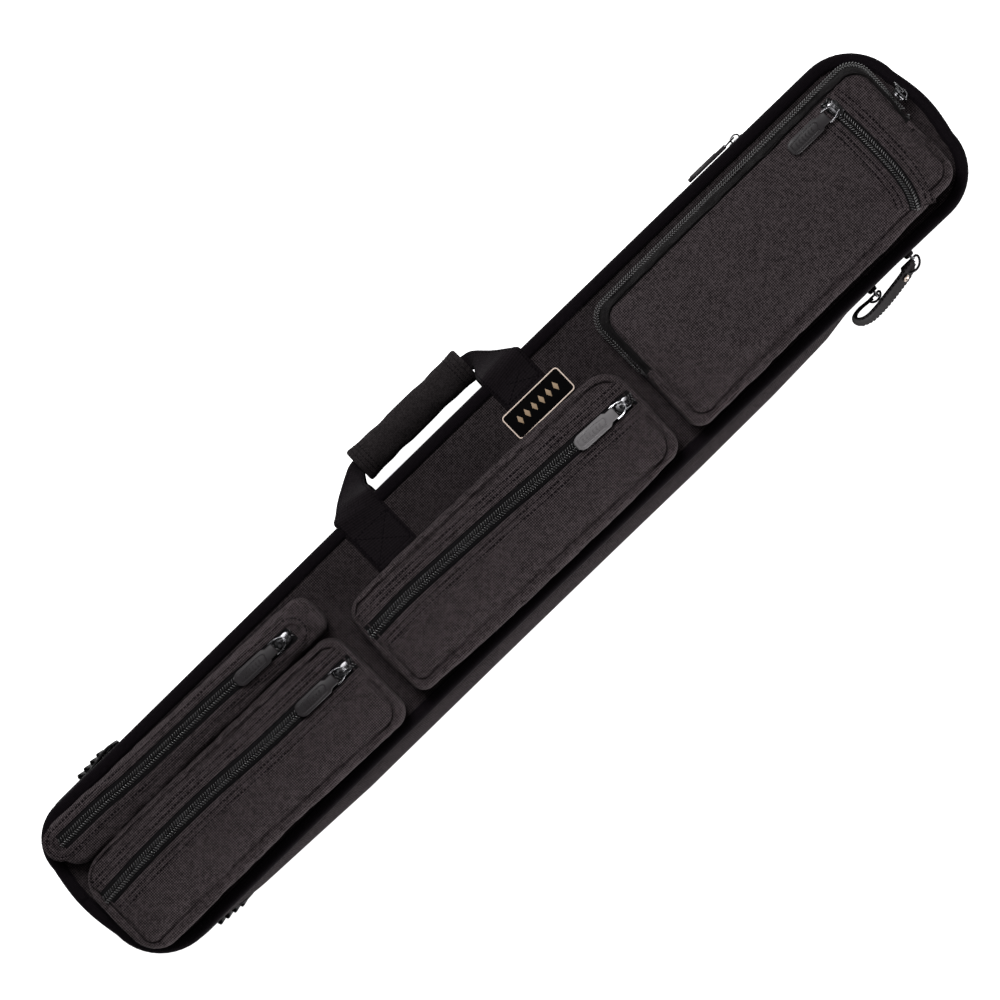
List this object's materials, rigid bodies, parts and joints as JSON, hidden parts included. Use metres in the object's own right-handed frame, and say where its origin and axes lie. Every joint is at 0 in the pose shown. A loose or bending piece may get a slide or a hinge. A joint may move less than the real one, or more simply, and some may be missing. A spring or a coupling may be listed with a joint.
{
  "type": "cue case",
  "caption": "Long soft case for pool cues with zipped pockets on its front, a side handle, a side loop and a hinged end over rigid cue tubes.",
  "frame": {"origin": "middle of the back panel's outer face, which the case rests on", "axes": "+Y along the case to the end that opens, +Z out of the front panel, +X to the right seen from the front; the handle is at -X"},
  "size_m": [0.2017, 0.8675, 0.116],
  "materials": {
    "canvas": "matte heather canvas weave",
    "body_fabric": "matte coarse weave",
    "binding": "ribbed ribbon",
    "webbing": "ribbed nylon",
    "boot_rubber": "satin moulded",
    "foam": "lined foam",
    "tube_plastic": "matte",
    "zip_coil": "satin coil",
    "slider_metal": "black nickel",
    "pull_rubber": "satin",
    "badge_face": "satin with a pale border",
    "loop_leather": "matte",
    "rivet_metal": "antique",
    "black_metal": "gloss black",
    "ring_metal": "polished"
  },
  "bodies": {
    "case": {"back_panel": "body_fabric", "front_panel": "canvas", "side_gusset": "body_fabric", "front_binding": "binding", "back_binding": "binding", "base_boot": "boot_rubber", "base_pad": "foam", "butt_tube_1": "tube_plastic", "butt_tube_2": "tube_plastic", "butt_tube_3": "tube_plastic", "butt_tube_4": "tube_plastic", "shaft_tubes": "tube_plastic", "top_pocket_base": "canvas", "top_pocket_zip": "zip_coil", "top_pocket_panel": "canvas", "cross_zip_panel": "zip_coil", "middle_pocket_gusset": "canvas", "middle_pocket_face": "canvas", "middle_zip_chain": "zip_coil", "right_pocket_gusset": "canvas", "right_pocket_face": "canvas", "right_zip_chain": "zip_coil", "left_pocket_gusset": "canvas", "left_pocket_face": "canvas", "left_zip_chain": "zip_coil", "badge": "badge_face", "handle_strap_front": "webbing", "handle_strap_back": "webbing"},
    "lid": {"lid_back_panel": "body_fabric", "lid_gusset": "body_fabric", "lid_binding": "binding", "lid_end_pad": "foam", "lid_zip_chain": "zip_coil", "loop_anchor_rings": "ring_metal"},
    "lid_slider": {"lid_zip_slider": "slider_metal"},
    "lid_pull": {"lid_zip_ring": "slider_metal", "lid_zip_pull": "pull_rubber"},
    "top_flap": {"top_pocket_flap": "canvas", "cross_zip_flap": "zip_coil"},
    "top_slider": {"top_zip_slider": "slider_metal"},
    "top_ring": {"top_zip_ring": "slider_metal"},
    "cross_slider": {"cross_zip_slider": "slider_metal"},
    "cross_pull": {"cross_zip_ring": "slider_metal", "cross_zip_pull": "pull_rubber"},
    "middle_slider": {"middle_zip_slider": "slider_metal"},
    "middle_pull": {"middle_zip_ring": "slider_metal", "middle_zip_pull": "pull_rubber"},
    "right_slider": {"right_zip_slider": "slider_metal"},
    "right_pull": {"right_zip_ring": "slider_metal", "right_zip_pull": "pull_rubber"},
    "left_slider": {"left_zip_slider": "slider_metal"},
    "left_pull": {"left_zip_ring": "slider_metal", "left_zip_pull": "pull_rubber"},
    "handle": {"grip_core": "webbing", "grip_wrap": "canvas"},
    "side_loop": {"side_loop_strap": "loop_leather", "loop_rivet": "rivet_metal", "loop_d_rings": "black_metal"}
  },
  "joints": [
    {"name": "lid_hinge", "type": "hinge", "parent": "case", "child": "lid", "pos_m": [0, 0.2983, 0], "axis": [-1, 0, 0], "range_deg": [0, 110]},
    {"name": "lid_zip_slide", "type": "slide", "parent": "lid", "child": "lid_slider", "axis": [0, 1, 0], "range_m": [0, 0.078]},
    {"name": "lid_pull_swing", "type": "hinge", "parent": "lid_slider", "child": "lid_pull", "pos_m": [-0.0781, 0.31, 0.0685], "axis": [0, 0, -1], "range_deg": [0, 170]},
    {"name": "top_flap_fold", "type": "hinge", "parent": "case", "child": "top_flap", "pos_m": [0.00385, 0.2775, 0.11], "axis": [0, 1, 0], "range_deg": [0, 55]},
    {"name": "top_zip_slide", "type": "slide", "parent": "case", "child": "top_slider", "axis": [-1, 0, 0], "range_m": [0, 0.022]},
    {"name": "top_ring_swing", "type": "hinge", "parent": "top_slider", "child": "top_ring", "pos_m": [-0.015, 0.4196, 0.095], "axis": [0, 0, -1], "range_deg": [0, 170]},
    {"name": "cross_zip_slide", "type": "slide", "parent": "top_flap", "child": "cross_slider", "axis": [0.9953, -0.0966, 0], "range_m": [0, 0.036]},
    {"name": "cross_pull_swing", "type": "hinge", "parent": "cross_slider", "child": "cross_pull", "pos_m": [-0.041, 0.3734, 0.1141], "axis": [-1, 0, 0], "range_deg": [0, 170]},
    {"name": "middle_zip_slide", "type": "slide", "parent": "case", "child": "middle_slider", "axis": [-0.0314, -0.9995, 0], "range_m": [0, 0.225]},
    {"name": "middle_pull_swing", "type": "hinge", "parent": "middle_slider", "child": "middle_pull", "pos_m": [0.00722, 0.112, 0.1141], "axis": [-0.9995, 0.0314, 0], "range_deg": [0, 170]},
    {"name": "right_zip_slide", "type": "slide", "parent": "case", "child": "right_slider", "axis": [-0.0059, -1, 0], "range_m": [0, 0.232]},
    {"name": "right_pull_swing", "type": "hinge", "parent": "right_slider", "child": "right_pull", "pos_m": [0.00445, -0.17, 0.1141], "axis": [-1, 0.0059, 0], "range_deg": [0, 170]},
    {"name": "left_zip_slide", "type": "slide", "parent": "case", "child": "left_slider", "axis": [-0.0236, -0.9997, 0], "range_m": [0, 0.215]},
    {"name": "left_pull_swing", "type": "hinge", "parent": "left_slider", "child": "left_pull", "pos_m": [-0.04171, -0.187, 0.1061], "axis": [-0.9997, 0.0236, 0], "range_deg": [0, 170]},
    {"name": "handle_swing", "type": "hinge", "parent": "case", "child": "handle", "pos_m": [-0.076, -0.0045, 0.04], "axis": [0, 1, 0], "range_deg": [-30, 30], "deforming": ["handle_strap_front", "handle_strap_back"]},
    {"name": "side_loop_swing", "type": "hinge", "parent": "lid", "child": "side_loop", "pos_m": [0.0784, 0.32, 0.04], "axis": [0, 1, 0], "range_deg": [-30, 30]}
  ]
}
